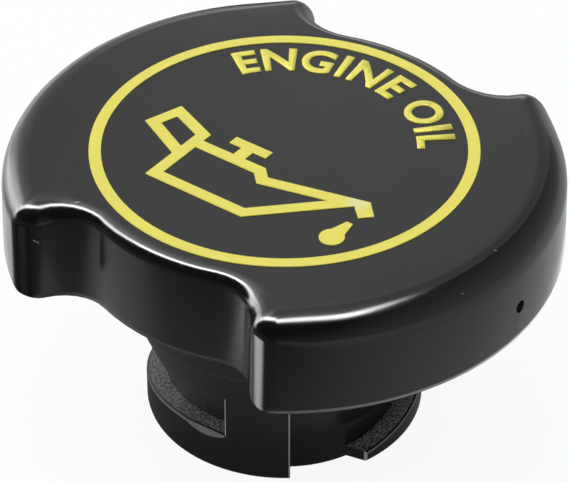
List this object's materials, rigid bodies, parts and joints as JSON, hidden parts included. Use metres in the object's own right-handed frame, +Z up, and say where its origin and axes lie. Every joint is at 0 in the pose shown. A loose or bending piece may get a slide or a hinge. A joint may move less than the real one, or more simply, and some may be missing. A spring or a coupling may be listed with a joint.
{
  "type": "oil filler cap",
  "caption": "Quarter-turn oil filler cap: a two-lobed handle with a printed oil can, a flared bayonet plug with ramped lugs and a rubber seal ring.",
  "frame": {"origin": "on the cap's axis, in the plane of the barrel's open end, on which the cap stands", "axes": "+Z up the cap's axis to the printed top face, +X through the middle of a lobe to the right of the upright symbol, +Y towards the top of the symbol and through a finger notch"},
  "size_m": [0.0724, 0.0606, 0.0406],
  "materials": {
    "grip_plastic": "satin black moulded nylon",
    "plug_plastic": "satin black moulded nylon",
    "seal_rubber": "dull black rubber",
    "yellow_print": "flat yellow print"
  },
  "bodies": {
    "root": {"grip": "grip_plastic", "bayonet_plug": "plug_plastic", "seal_ring": "seal_rubber", "printed_mark": "yellow_print"}
  },
  "joints": []
}
